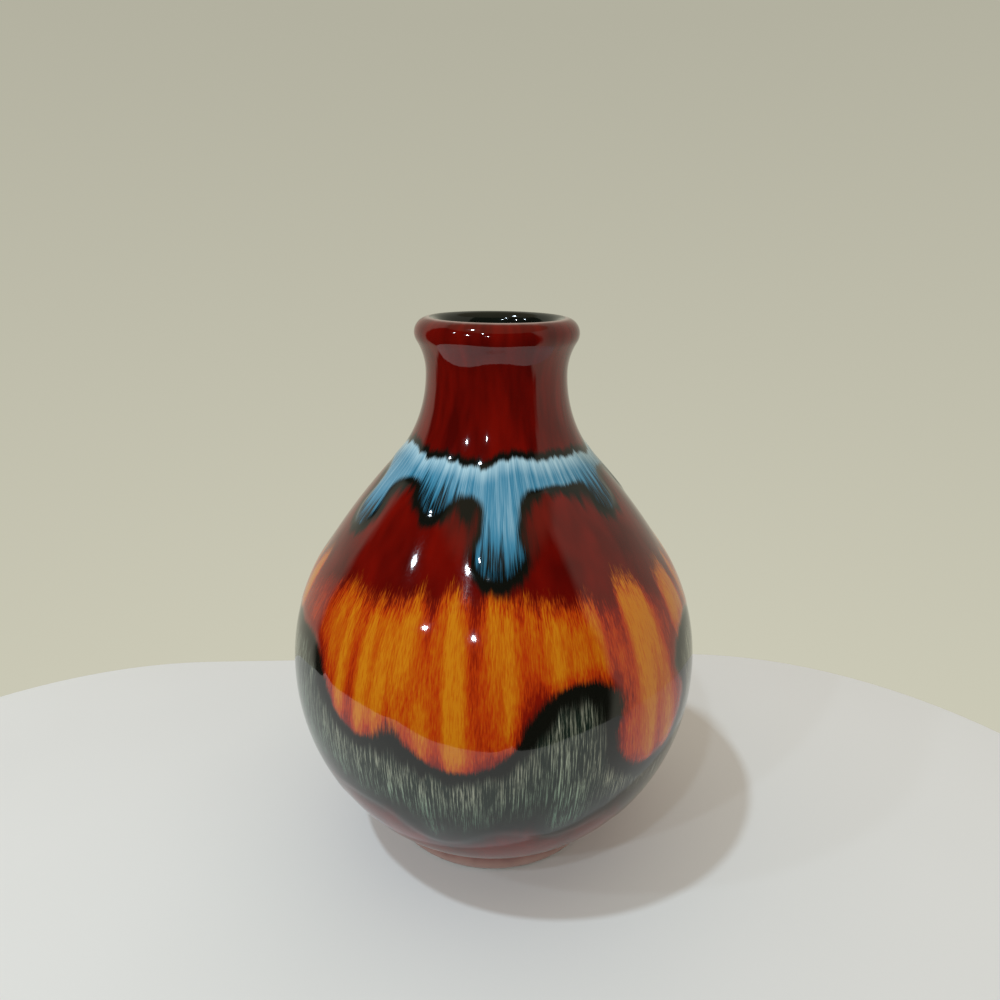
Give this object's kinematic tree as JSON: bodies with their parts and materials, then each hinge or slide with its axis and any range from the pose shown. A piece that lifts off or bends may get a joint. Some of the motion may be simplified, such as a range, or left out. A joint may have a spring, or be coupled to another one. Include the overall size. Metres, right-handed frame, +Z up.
{
  "type": "bud vase",
  "caption": "Pear-shaped ceramic bud vase with a round belly, narrow neck and rolled lip, glossy red glaze with runs of blue, amber and dark green, and a dark glazed inside.",
  "frame": {"origin": "centre of the foot ring, on the surface the vase stands on", "axes": "+Z up along the vase's axis, -Y towards the picture's viewpoint, +X to its right"},
  "size_m": [0.1, 0.1, 0.13],
  "materials": {
    "biscuit_clay": "matt fired clay",
    "oxblood_glaze": "high gloss",
    "liner_glaze": "high gloss",
    "blue_glaze": "high gloss",
    "amber_glaze": "high gloss",
    "green_glaze": "high gloss"
  },
  "bodies": {
    "root": {"clay_body": "biscuit_clay", "ground_glaze": "oxblood_glaze", "liner_glaze": "liner_glaze", "base_glaze": "oxblood_glaze", "blue_glaze_collar": "blue_glaze", "amber_glaze_belt": "amber_glaze", "green_glaze_skirt": "green_glaze"}
  },
  "joints": []
}
